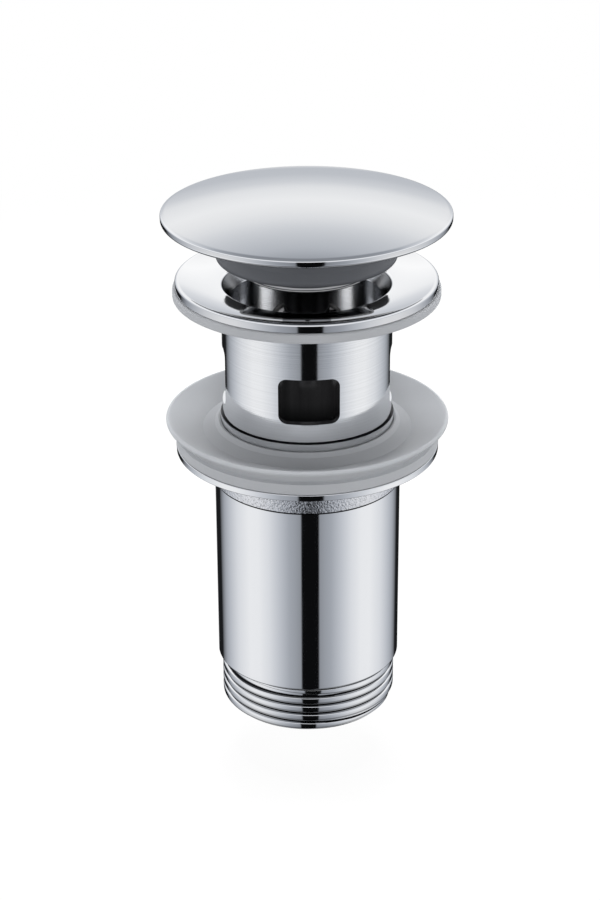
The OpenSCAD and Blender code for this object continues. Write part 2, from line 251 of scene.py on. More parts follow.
def new_material(name: str) -> tuple[Material, NodeTree, bpy.types.Node, Socket]:
    """Makes a node material with a Principled shader on Object coordinates.

    Args:
        name: The material's name.

    Returns:
        The material, its tree helper, the shader node and the coordinate socket.
    """
    material = bpy.data.materials.new(name)
    material.use_nodes = True
    tree = NodeTree(material.node_tree)
    shader = material.node_tree.nodes["Principled BSDF"]
    coords = tree.add("ShaderNodeTexCoord").outputs["Object"]
    return material, tree, shader, coords


def stage_material(name: str) -> tuple[Material, NodeTree, bpy.types.Node]:
    """Makes a node material without a shader, for what stands round the object.

    Args:
        name: The material's name.

    Returns:
        The material, its tree helper and the output node.
    """
    material = bpy.data.materials.new(name)
    material.use_nodes = True
    nodes = material.node_tree.nodes
    nodes.remove(nodes["Principled BSDF"])
    return material, NodeTree(material.node_tree), nodes["Material Output"]


@dataclass(frozen=True)
class MetalFinish:
    """A plated or bare metal, with roughness that varies and a fine relief of lines or grains.

    Attributes:
        name: The material's name.
        colour: Linear base colour.
        rough_low: Roughness of the smoothest patches.
        rough_high: Roughness of the dullest patches.
        patch_scale: Patches per metre in the roughness.
        line_pitch: Spacing of turned lines along the axis, or 0 for none.
        line_depth: Height of the turned lines.
        line_tone: Share of the colour that the deepest lines lose.
        grain_scale: Grains per metre of an as-cast skin without lines, or 0 for none.
        grain_depth: Height of the grains.
    """

    name: str
    colour: Colour
    rough_low: float
    rough_high: float
    patch_scale: float = 60.0
    line_pitch: float = 0.0
    line_depth: float = 0.0
    line_tone: float = 0.0
    grain_scale: float = 0.0
    grain_depth: float = 0.0

    NOISE_RANGE = (0.3, 0.7)
    PATCH_DETAIL = 3.0
    LINE_DETAIL = 4.0
    LINE_WAVER = 6.0
    GRAIN_DETAIL = 1.0

    def material(self) -> Material:
        """Builds the finish as a node material.

        Returns:
            The new material.
        """
        material, tree, shader, coords = new_material(self.name)
        patches = tree.noise(coords, self.patch_scale, self.PATCH_DETAIL)
        rough = tree.spread(patches, self.NOISE_RANGE, (self.rough_low, self.rough_high))
        tree.feed(shader, {"Base Color": self.colour, "Metallic": 1.0, "Roughness": rough})
        if self.line_pitch:
            drawn = tree.stretch(coords, (self.LINE_WAVER, self.LINE_WAVER, 1.0 / self.line_pitch))
            lines = tree.noise(drawn, 1.0, self.LINE_DETAIL)
            relief = tree.bump(lines, self.line_depth).outputs["Normal"]
            tree.feed(shader, {"Base Color": self._lined(tree, lines), "Normal": relief})
        elif self.grain_scale:
            grains = tree.noise(coords, self.grain_scale, self.GRAIN_DETAIL)
            tree.feed(shader, {"Normal": tree.bump(grains, self.grain_depth).outputs["Normal"]})
        return material

    def _lined(self, tree: NodeTree, lines: Socket) -> Socket:
        """The colour, darker along the deeper lines.

        Args:
            tree: The material's tree.
            lines: Height of the turned lines.

        Returns:
            The colour socket.
        """
        red, green, blue, alpha = self.colour
        keep = 1.0 - self.line_tone
        deep = (red * keep, green * keep, blue * keep, alpha)
        return tree.tone(tree.spread(lines, self.NOISE_RANGE, (0.0, 1.0)), deep, self.colour)


@dataclass(frozen=True)
class SoftFinish:
    """A matte rubber or moulded plastic, with a mottled tone and a fine skin.

    Attributes:
        name: The material's name.
        dark: Linear colour of the darker mottling.
        light: Linear colour of the lighter mottling.
        roughness: Mean roughness.
        mottle_scale: Patches per metre of the mottling.
        stretch: Length of a patch along the axis over its width.
        skin_scale: Grains per metre of the moulded skin.
        skin_depth: Height of the grains.
        soften: Radius over which facets are shaded round, or 0 for none.
    """

    name: str
    dark: Colour
    light: Colour
    roughness: float
    mottle_scale: float = 90.0
    stretch: float = 1.0
    skin_scale: float = 2600.0
    skin_depth: float = 0.02 * MM
    soften: float = 0.0

    MOTTLE_DETAIL = 5.0
    ROUGH_SPAN = 0.06
    SKIN_DETAIL = 2.0
    SKIN_STRENGTH = 0.6
    SOFTEN_SAMPLES = 8

    def material(self) -> Material:
        """Builds the finish as a node material.

        Returns:
            The new material.
        """
        material, tree, shader, coords = new_material(self.name)
        drawn = tree.stretch(coords, (1.0, 1.0, 1.0 / self.stretch))
        mottle = tree.noise(drawn, self.mottle_scale, self.MOTTLE_DETAIL)
        ends = (self.roughness - self.ROUGH_SPAN, self.roughness + self.ROUGH_SPAN)
        skin = tree.noise(coords, self.skin_scale, self.SKIN_DETAIL)
        bump = tree.bump(skin, self.skin_depth, self.SKIN_STRENGTH)
        if self.soften:
            facets = tree.add("ShaderNodeBevel", {"Radius": self.soften}, samples=self.SOFTEN_SAMPLES)
            tree.feed(bump, {"Normal": facets.outputs["Normal"]})
        tree.feed(shader, {
            "Base Color": tree.tone(mottle, self.dark, self.light),
            "Roughness": tree.spread(mottle, (0.0, 1.0), ends),
            "Normal": bump.outputs["Normal"],
        })
        return material


class Finishes:
    """All the materials of the part, built once."""

    def __init__(self) -> None:
        """Builds every finish."""
        self.polished = MetalFinish("polished_chrome", (0.89, 0.90, 0.92, 1.0), 0.03, 0.07).material()
        self.dome = MetalFinish("dome_chrome", (0.81, 0.82, 0.836, 1.0), 0.05, 0.09).material()
        self.bright = MetalFinish("flange_chrome", (0.96, 0.965, 0.975, 1.0), 0.03, 0.06).material()
        self.turned = MetalFinish(
            "turned_chrome", (0.93, 0.94, 0.955, 1.0), 0.05, 0.09,
            line_pitch=0.4 * MM, line_depth=0.012 * MM, line_tone=0.09,
        ).material()
        self.cast = MetalFinish(
            "cast_chrome", (0.82, 0.83, 0.86, 1.0), 0.14, 0.24, grain_scale=2000.0, grain_depth=0.15 * MM
        ).material()
        self.bore = MetalFinish(
            "turned_bore", (0.90, 0.91, 0.93, 1.0), 0.10, 0.18,
            line_pitch=0.25 * MM, line_depth=0.018 * MM, line_tone=0.2,
        ).material()
        # A near-black metal that paints shade into the body's groove, the tail's groove and the thread's
        # roots: painted shade, not a real finish of the chrome.
        self.shade = MetalFinish("painted_groove_shade", (0.05, 0.05, 0.055, 1.0), 0.25, 0.40).material()
        self.brass = MetalFinish(
            "turned_brass", (0.74, 0.56, 0.27, 1.0), 0.18, 0.28, line_pitch=0.3 * MM, line_depth=0.006 * MM
        ).material()
        self.steel = MetalFinish("spring_steel", (0.62, 0.62, 0.64, 1.0), 0.14, 0.24).material()
        self.pale = SoftFinish(
            "pale_rubber", (0.372, 0.384, 0.406, 1.0), (0.432, 0.445, 0.468, 1.0), 0.62
        ).material()
        self.dark = SoftFinish(
            "dark_rubber", (0.088, 0.093, 0.104, 1.0), (0.106, 0.112, 0.125, 1.0), 0.50
        ).material()
        self.black = SoftFinish(
            "black_rubber", (0.012, 0.012, 0.013, 1.0), (0.020, 0.020, 0.021, 1.0), 0.50
        ).material()
        self.jet = SoftFinish(
            "black_plastic", (0.010, 0.010, 0.011, 1.0), (0.045, 0.045, 0.047, 1.0), 0.16,
            mottle_scale=350.0, stretch=14.0, skin_depth=0.004 * MM, soften=1.2 * MM,
        ).material()
        self.white = SoftFinish(
            "white_plastic", (0.74, 0.74, 0.72, 1.0), (0.80, 0.80, 0.78, 1.0), 0.38
        ).material()


class Outline:
    """A closed profile of radius and height that is turned about the axis."""

    GUARD = 0.06 * MM
    STEP = math.radians(7.5)

    def __init__(self, radius: float, height: float, band: int = 0) -> None:
        """Starts the profile.

        Args:
            radius: Radius of the first point.
            height: Height of the first point.
            band: Index of the finish of the stretch that follows.
        """
        self.points: list[Point] = [(radius, height)]
        self.bands: list[int] = []
        self.band = band

    def finish(self, band: int) -> Outline:
        """Sets the finish of the stretches that follow."""
        self.band = band
        return self

    def to(self, radius: float, height: float) -> Outline:
        """Draws a straight stretch, with a guard ring near each end so that it shades flat.

        Args:
            radius: Radius of its end.
            height: Height of its end.

        Returns:
            The same outline.
        """
        start = Vector(self.points[-1])
        end = Vector((radius, height))
        length = (end - start).length
        if length > 4 * self.GUARD:
            for share in (self.GUARD / length, 1 - self.GUARD / length):
                self._put(start.lerp(end, share))
        self._put(end)
        return self

    def arc(self, centre: Point, radius: float, start: float, end: float) -> Outline:
        """Draws an arc.

        Args:
            centre: Radius and height of the arc's centre.
            radius: The arc's own radius.
            start: First angle in degrees, from outwards towards up.
            end: Last angle in degrees.

        Returns:
            The same outline.
        """
        sweep = math.radians(end - start)
        steps = max(3, math.ceil(abs(sweep) / self.STEP))
        for i in range(steps + 1):
            angle = math.radians(start) + sweep * i / steps
            self._put(Vector((centre[0] + radius * math.cos(angle), centre[1] + radius * math.sin(angle))))
        return self

    def curve(self, path: Callable[[float], Point], steps: int) -> Outline:
        """Draws a curve given as a function of a share from 0 to 1.

        Args:
            path: Gives the radius and height at a share.
            steps: Number of straight steps.

        Returns:
            The same outline.
        """
        for i in range(steps + 1):
            self._put(Vector(path(i / steps)))
        return self

    def _put(self, point: Vector) -> None:
        """Adds a point unless it repeats the last one.

        Args:
            point: Its radius and height.
        """
        last = Vector(self.points[-1])
        if (point - last).length > TINY:
            self.points.append((point.x, point.y))
            self.bands.append(self.band)


def sagging(start: Point, end: Point, sag: float) -> Callable[[float], Point]:
    """A line between two points that hangs a little in the middle.

    Args:
        start: Radius and height at share 0.
        end: Radius and height at share 1.
        sag: Drop of its middle below the straight line.

    Returns:
        The function that gives the point at a share.
    """

    def path(share: float) -> Point:
        """The point at a share of the line."""
        radius = start[0] + (end[0] - start[0]) * share
        height = start[1] + (end[1] - start[1]) * share
        return radius, height - 4 * sag * share * (1 - share)

    return path


def turned_mesh(name: str, outline: Outline, materials: Sequence[Material]) -> Piece:
    """Turns an outline about the axis into a closed piece.

    Args:
        name: The piece's name.
        outline: The profile, closed back to its start or ended on the axis.
        materials: The finishes that the outline's bands name.

    Returns:
        The new object.
    """
    shape = bmesh.new()
    points = outline.points
    on_axis = points[0][0] < TINY and points[-1][0] < TINY
    rays = [2 * math.pi * k / SEGMENTS for k in range(SEGMENTS)]
    rings: list[Ring] = []
    for radius, height in points:
        if radius < TINY:
            rings.append([shape.verts.new((0.0, 0.0, height))])
            continue
        places = [(radius * math.cos(ray), radius * math.sin(ray), height) for ray in rays]
        rings.append([shape.verts.new(place) for place in places])
    pairs = list(zip(range(len(points) - 1), range(1, len(points))))
    bands = list(outline.bands)
    if not on_axis:
        pairs.append((len(points) - 1, 0))
        bands.append(outline.band)
    for (low, high), band in zip(pairs, bands):
        bridge(shape, rings[low], rings[high], band)
    bmesh.ops.recalc_face_normals(shape, faces=shape.faces)
    return finished(name, shape, materials)


def bridge(shape: bmesh.types.BMesh, low: Ring, high: Ring, band: int) -> None:
    """Fills the faces between two rings, either of which may be one point.

    Args:
        shape: The mesh that is filled.
        low: The first ring.
        high: The ring after it.
        band: Index of the faces' finish.
    """
    for k in range(SEGMENTS):
        n = (k + 1) % SEGMENTS
        corners = [low[k % len(low)], low[n % len(low)], high[n % len(high)], high[k % len(high)]]
        face = shape.faces.new(list(dict.fromkeys(corners)))
        face.material_index = band
        face.smooth = True


def finished(name: str, shape: bmesh.types.BMesh, materials: Sequence[Material]) -> Piece:
    """Turns a bmesh into a linked object with sharp edges marked.

    Args:
        name: The piece's name.
        shape: The mesh, which is freed.
        materials: Its material slots.

    Returns:
        The new object.
    """
    mesh = bpy.data.meshes.new(name)
    shape.to_mesh(mesh)
    shape.free()
    for material in materials:
        mesh.materials.append(material)
    mesh.set_sharp_from_angle(angle=SHARP_ANGLE)
    return linked(name, mesh)


def linked(name: str, data: bpy.types.ID) -> Piece:
    """Makes an object of a mesh, lamp or camera and links it to the scene.

    Args:
        name: The object's name.
        data: What it shows.

    Returns:
        The new object.
    """
    piece = bpy.data.objects.new(name, data)
    bpy.context.scene.collection.objects.link(piece)
    return piece


class GeometryTree:
    """A Geometry Nodes tree with named inputs, run once and turned into a plain mesh."""

    def __init__(self, name: str) -> None:
        """Starts a tree with a geometry input and output.

        Args:
            name: The tree's name.
        """
        self.group = bpy.data.node_groups.new(name, "GeometryNodeTree")
        self.nodes = NodeTree(self.group)
        self.values: dict[str, object] = {}
        self.socket("Geometry", "NodeSocketGeometry", "INPUT")
        self.socket("Geometry", "NodeSocketGeometry", "OUTPUT")
        self.enter = self.nodes.add("NodeGroupInput")
        self.leave = self.nodes.add("NodeGroupOutput")

    def socket(self, name: str, kind: str, way: str) -> bpy.types.NodeTreeInterfaceSocket:
        """Adds one socket to the tree's interface."""
        return self.group.interface.new_socket(name, in_out=way, socket_type=kind)

    def size(self, name: str, value: float | int) -> Socket:
        """Adds a named size as an input.

        Args:
            name: The input's name.
            value: The value that this run uses.

        Returns:
            The socket inside the tree.
        """
        kind = "NodeSocketInt" if isinstance(value, int) else "NodeSocketFloat"
        socket = self.socket(name, kind, "INPUT")
        self.values[socket.identifier] = value
        return self.enter.outputs[name]

    def fillet(self, curve: Socket, radius: Socket, steps: int) -> Socket:
        """Rounds the corners of a curve.

        Args:
            curve: The curve's socket.
            radius: The rounding's socket.
            steps: Points on each rounded corner.

        Returns:
            The rounded curve's socket.
        """
        feeds = {"Curve": curve, "Count": steps, "Radius": radius}
        return self.nodes.add("GeometryNodeFilletCurve", feeds, mode="POLY").outputs["Curve"]

    def close(self, geometry: Socket, material: Material | None) -> None:
        """Ends the tree in Realize Instances and Set Material.

        Args:
            geometry: The last geometry socket.
            material: The finish to set, or None where the mesh keeps its own.
        """
        last = self.nodes.add("GeometryNodeRealizeInstances", {0: geometry}).outputs[0]
        if material is not None:
            feeds = {"Geometry": last, "Material": material}
            last = self.nodes.add("GeometryNodeSetMaterial", feeds).outputs["Geometry"]
        self.nodes.feed(self.leave, {0: last})

    def run(self, name: str, source: Piece | None = None) -> Piece:
        """Evaluates the tree into a new plain mesh object.

        Args:
            name: The new piece's name.
            source: The object whose mesh enters the tree, which is removed, or None.

        Returns:
            The new object.
        """
        scratch = source or linked(name + ".scratch", bpy.data.meshes.new(name + ".scratch"))
        modifier = scratch.modifiers.new("tree", "NODES")
        modifier.node_group = self.group
        for identifier, value in self.values.items():
            modifier[identifier] = value
        graph = bpy.context.evaluated_depsgraph_get()
        mesh = bpy.data.meshes.new_from_object(scratch.evaluated_get(graph))
        scratch.modifiers.remove(modifier)
        bpy.data.objects.remove(scratch)
        mesh.name = name
        return linked(name, mesh)


@dataclass
class Helix:
    """A section swept along a helix about the axis by Geometry Nodes.

    Attributes:
        name: The piece's name.
        radius: Radius of the helix.
        foot: Height of its start.
        rise: Height from its start to its end.
        turns: Number of turns.
        fade: Share of the length over which each end runs out.
    """

    name: str
    radius: float
    foot: float
    rise: float
    turns: float
    fade: float

    STEPS_PER_TURN = 96
    SHORTEST_FADE = 1e-4
    END_SCALE = 0.02

    def build(self, material: Material) -> Piece:
        """Builds the swept piece with one finish.

        Args:
            material: The finish.

        Returns:
            The new piece.
        """
        tree = GeometryTree(self.name + "_tree")
        nodes = tree.nodes
        radius = tree.size("Radius", self.radius)
        path = nodes.add("GeometryNodeCurveSpiral", {
            "Resolution": tree.size("Steps Per Turn", self.STEPS_PER_TURN),
            "Rotations": tree.size("Turns", self.turns),
            "Start Radius": radius,
            "End Radius": radius,
            "Height": tree.size("Rise", self.rise),
        })
        upright = nodes.add("GeometryNodeSetCurveNormal", {"Curve": path.outputs["Curve"]}, mode="Z_UP")
        sweep = nodes.add("GeometryNodeCurveToMesh", {
            "Curve": upright.outputs["Curve"],
            "Profile Curve": self._section(tree),
            "Scale": self._run_out(tree),
            "Fill Caps": True,
        })
        place = nodes.add("GeometryNodeTransform", {
            "Geometry": sweep.outputs["Mesh"],
            "Translation": (0.0, 0.0, self.foot),
        })
        smooth = nodes.add("GeometryNodeSetShadeSmooth", {"Geometry": place.outputs["Geometry"]})
        tree.close(smooth.outputs["Geometry"], material)
        return tree.run(self.name)

    def _run_out(self, tree: GeometryTree) -> Socket:
        """A factor that falls almost to nothing at both ends of the path.

        Args:
            tree: The helix's tree.

        Returns:
            The factor's socket.
        """
        nodes = tree.nodes
        fade = nodes.math("MAXIMUM", tree.size("Run Out", self.fade), self.SHORTEST_FADE)
        along = nodes.add("GeometryNodeSplineParameter").outputs["Factor"]
        nearest = nodes.math("MINIMUM", along, nodes.math("SUBTRACT", 1.0, along))
        share = nodes.math("MINIMUM", nodes.math("DIVIDE", nearest, fade), 1.0)
        return nodes.math("MAXIMUM", share, self.END_SCALE)

    def _section(self, tree: GeometryTree) -> Socket:
        """The section's curve, which each kind of helix draws."""
        raise NotImplementedError


@dataclass
class WireHelix(Helix):
    """A helix of round wire, as springs are.

    Attributes:
        wire_r: Radius of the wire.
    """

    wire_r: float

    SIDES = 12

    def _section(self, tree: GeometryTree) -> Socket:
        """The round section of the wire.

        Args:
            tree: The helix's tree.

        Returns:
            The section's curve socket.
        """
        ring = tree.nodes.add("GeometryNodeCurvePrimitiveCircle", {
            "Resolution": tree.size("Wire Sides", self.SIDES),
            "Radius": tree.size("Wire Radius", self.wire_r),
        }, mode="RADIUS")
        return ring.outputs["Curve"]


@dataclass
class RidgeHelix(Helix):
    """A helix with a flat-topped ridge for its section, as threads have.

    Attributes:
        crest_w: Width of the ridge's top.
        root_w: Width of its foot.
        height: Height from its foot to its top.
        sunk: How far its foot lies inside the path.
        rounding: Fillet of its corners.
    """

    crest_w: float
    root_w: float
    height: float
    sunk: float
    rounding: float

    CORNER_STEPS = 4
    CUTS = 2

    def _section(self, tree: GeometryTree) -> Socket:
        """The ridge, with its top outwards and its corners rounded.

        Args:
            tree: The helix's tree.

        Returns:
            The section's curve socket.
        """
        nodes = tree.nodes
        ridge = nodes.add("GeometryNodeCurvePrimitiveQuadrilateral", {
            "Height": tree.size("Ridge Height", self.height),
            "Bottom Width": tree.size("Root Width", self.root_w),
            "Top Width": tree.size("Crest Width", self.crest_w),
            "Offset": 0.0,
        }, mode="TRAPEZOID")
        turn = nodes.add("GeometryNodeTransform", {
            "Geometry": ridge.outputs["Curve"],
            "Rotation": (0.0, 0.0, math.pi / 2),
            "Translation": (self.sunk - self.height / 2, 0.0, 0.0),
        })
        rounding = tree.size("Rounding", self.rounding)
        rounded = tree.fillet(turn.outputs["Geometry"], rounding, self.CORNER_STEPS)
        split = nodes.add("GeometryNodeSubdivideCurve", {"Curve": rounded, "Cuts": self.CUTS})
        return split.outputs["Curve"]


def dress(piece: Piece, body: Body, slot: Slot, *nodes: str) -> None:
    """Rides a piece on its body and hides the CAD nodes that it replaces.

    Args:
        piece: The new piece.
        body: The body that carries it.
        slot: The record's material slot; not used.
        nodes: The CAD nodes that it replaces.
    """
    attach(piece, body.value)
    if nodes:
        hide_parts(*nodes)
    LOG.info("%s rides on %s", piece.name, body.value)


@dataclass
class Levels:
    """Heights and outer radii of the visible nodes, read from the frame.

    Attributes:
        cap_low: Foot of the cap's boss.
        cap_top: Top of the dome.
        cap_r: Radius of the cap.
        seal_low: Foot of the cap's seal.
        seal_top: Top of that seal.
        seal_r: Radius of its lip.
        retainer_low: Foot of the retainer ring.
        retainer_r: Radius of that ring.
        flange_top: Top of the body's flange.
        flange_r: Radius of that flange.
        body_end: Foot of the body.
        gasket_low: Foot of the gasket.
        gasket_top: Top of the gasket.
        gasket_r: Radius of the gasket.
        lower_low: Foot of the lower seal.
        lower_top: Top of its lip.
        lower_r: Radius of its lip.
        tail_top: Top of the tail's flange.
        tail_flange_r: Radius of that flange.
    """

    cap_low: float
    cap_top: float
    cap_r: float
    seal_low: float
    seal_top: float
    seal_r: float
    retainer_low: float
    retainer_r: float
    flange_top: float
    flange_r: float
    body_end: float
    gasket_low: float
    gasket_top: float
    gasket_r: float
    lower_low: float
    lower_top: float
    lower_r: float
    tail_top: float
    tail_flange_r: float

    @classmethod
    def read(cls) -> Levels:
        """Reads the boxes of the visible nodes.

        Returns:
            The levels.
        """
        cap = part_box("cap")
        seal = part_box("cap_seal")
        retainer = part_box("seal_retainer")
        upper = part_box("upper_body")
        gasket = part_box("flange_gasket")
        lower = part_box("lower_seal")
        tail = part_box("tail")
        return cls(
            cap_low=cap[0].z, cap_top=cap[1].z, cap_r=cap[1].x,
            seal_low=seal[0].z, seal_top=seal[1].z, seal_r=seal[1].x,
            retainer_low=retainer[0].z, retainer_r=retainer[1].x,
            flange_top=upper[1].z, flange_r=upper[1].x, body_end=upper[0].z,
            gasket_low=gasket[0].z, gasket_top=gasket[1].z, gasket_r=gasket[1].x,
            lower_low=lower[0].z, lower_top=lower[1].z, lower_r=lower[1].x,
            tail_top=tail[1].z, tail_flange_r=tail[1].x,
        )


@dataclass
class Plug:
    """The cap, its seal and the retainer ring.

    Attributes:
        levels: Places read from the frame.
        finishes: The part's materials.
        rise: Height of the dome above its rim.
        rim: Height of the rim band.
        rim_round: Rounding under the rim.
        rim_soft: Rounding between the dome and the rim.
        soft_sink: Drop of that rounding's centre below the rim's top, over its radius.
        soft_from: Angle in degrees at which that rounding leaves the dome.
        wall: Wall of the domed cap.
        pad_r: Radius of the pad above the seal.
        boss_r: Radius of the boss.
        neck_r: Radius of the seal above its lip.
        lip: Height of the seal's rounded lip.
        lip_in: Distance from the lip's edge to the flat under it, over the lip's height.
        lip_from: Angle in degrees at which the lip's rounding starts.
        lip_to: Angle in degrees at which it ends.
        lip_rise: Height of the neck's foot above the lip's, over the lip's height.
        edge: Bevel of the retainer.
        line_count: Turned lines on the retainer.
        line_depth: Depth of those lines.
        line_from: Start of a line in its pitch.
        line_w: Width of a line, over the pitch.
        line_flank: Height of a line's flank, over the pitch.
    """

    levels: Levels
    finishes: Finishes
    rise: float = 4.4 * MM
    rim: float = 1.8 * MM
    rim_round: float = 0.75 * MM
    rim_soft: float = 0.45 * MM
    soft_sink: float = 0.9
    soft_from: float = 75.0
    wall: float = 1.8 * MM
    pad_r: float = 19.0 * MM
    boss_r: float = 7.5 * MM
    neck_r: float = 19.8 * MM
    lip: float = 2.0 * MM
    lip_in: float = 0.6
    lip_from: float = -60.0
    lip_to: float = 24.0
    lip_rise: float = 1.6
    edge: float = 0.4 * MM
    line_count: int = 4
    line_depth: float = 0.3 * MM
    line_from: float = 0.3
    line_w: float = 0.4
    line_flank: float = 0.1

    DOME_STEPS = 48
    SHELL_STEPS = 16

    def build(self) -> None:
        """Builds and dresses the plug's pieces."""
        dress(self.cap(), Body.PLUG, Slot.CHROME, "cap")
        dress(self.seal(), Body.PLUG, Slot.DARK_RUBBER, "cap_seal")
        dress(self.retainer(), Body.PLUG, Slot.CHROME, "seal_retainer")

    def cap(self) -> Piece:
        """The domed shell with its rolled rim, pad and boss.

        Returns:
            The new piece.
        """
        at = self.levels
        rim_top = at.cap_top - self.rise
        rim_low = rim_top - self.rim
        ball = (at.cap_r ** 2 + self.rise ** 2) / (2 * self.rise)
        soft = self.rim_soft
        edge = self.rim_round
        shell_r = at.cap_r - self.wall

        def dome(share: float) -> Point:
            """The outside, from the axis to the rim."""
            radius = (at.cap_r - soft) * share
            return radius, at.cap_top - ball + math.sqrt(ball ** 2 - radius ** 2)

        def shell(share: float) -> Point:
            """The inside, from the rim to the pad."""
            radius = shell_r + (self.pad_r - shell_r) * share
            return radius, at.cap_top - ball + math.sqrt((ball - self.wall) ** 2 - radius ** 2)

        outline = Outline(0.0, at.cap_top)
        outline.curve(dome, self.DOME_STEPS)
        outline.finish(1)
        outline.arc((at.cap_r - soft, rim_top - self.soft_sink * soft), soft, self.soft_from, 0)
        outline.to(at.cap_r, rim_low + edge)
        outline.arc((at.cap_r - edge, rim_low + edge), edge, 0, -90)
        outline.to(shell_r, rim_low)
        outline.curve(shell, self.SHELL_STEPS)
        outline.to(self.pad_r, at.seal_top)
        outline.to(self.boss_r, at.seal_top)
        outline.to(self.boss_r, at.cap_low)
        outline.to(0.0, at.cap_low)
        return turned_mesh("cap_dome", outline, [self.finishes.dome, self.finishes.polished])

    def seal(self) -> Piece:
        """The rubber plug seal with its rounded lip.

        Returns:
            The new piece.
        """
        at = self.levels
        half = self.lip / 2
        outline = Outline(self.boss_r, at.seal_low)
        outline.to(at.seal_r - self.lip_in * self.lip, at.seal_low)
        outline.arc((at.seal_r - half, at.seal_low + half), half, self.lip_from, self.lip_to)
        outline.to(self.neck_r, at.seal_low + self.lip_rise * self.lip)
        outline.to(self.neck_r, at.seal_top)
        outline.to(self.boss_r, at.seal_top)
        return turned_mesh("cap_seal_ring", outline, [self.finishes.dark])

    def retainer(self) -> Piece:
        """The turned ring with fine lines on its edge.

        Returns:
            The new piece.
        """
        at = self.levels
        line_r = at.retainer_r - self.line_depth
        foot = at.retainer_low + self.edge
        outline = Outline(self.boss_r, at.retainer_low)
        outline.to(at.retainer_r - self.edge, at.retainer_low)
        outline.to(at.retainer_r, foot)
        pitch = (at.seal_low - foot - self.edge) / self.line_count
        for i in range(self.line_count):
            low = foot + pitch * (i + self.line_from)
            high = low + self.line_w * pitch
            outline.to(at.retainer_r, low)
            outline.to(line_r, low + self.line_flank * pitch)
            outline.to(line_r, high - self.line_flank * pitch)
            outline.to(at.retainer_r, high)
        outline.to(at.retainer_r, at.seal_low)
        outline.to(self.boss_r, at.seal_low)
        return turned_mesh("seal_retainer_ring", outline, [self.finishes.polished])


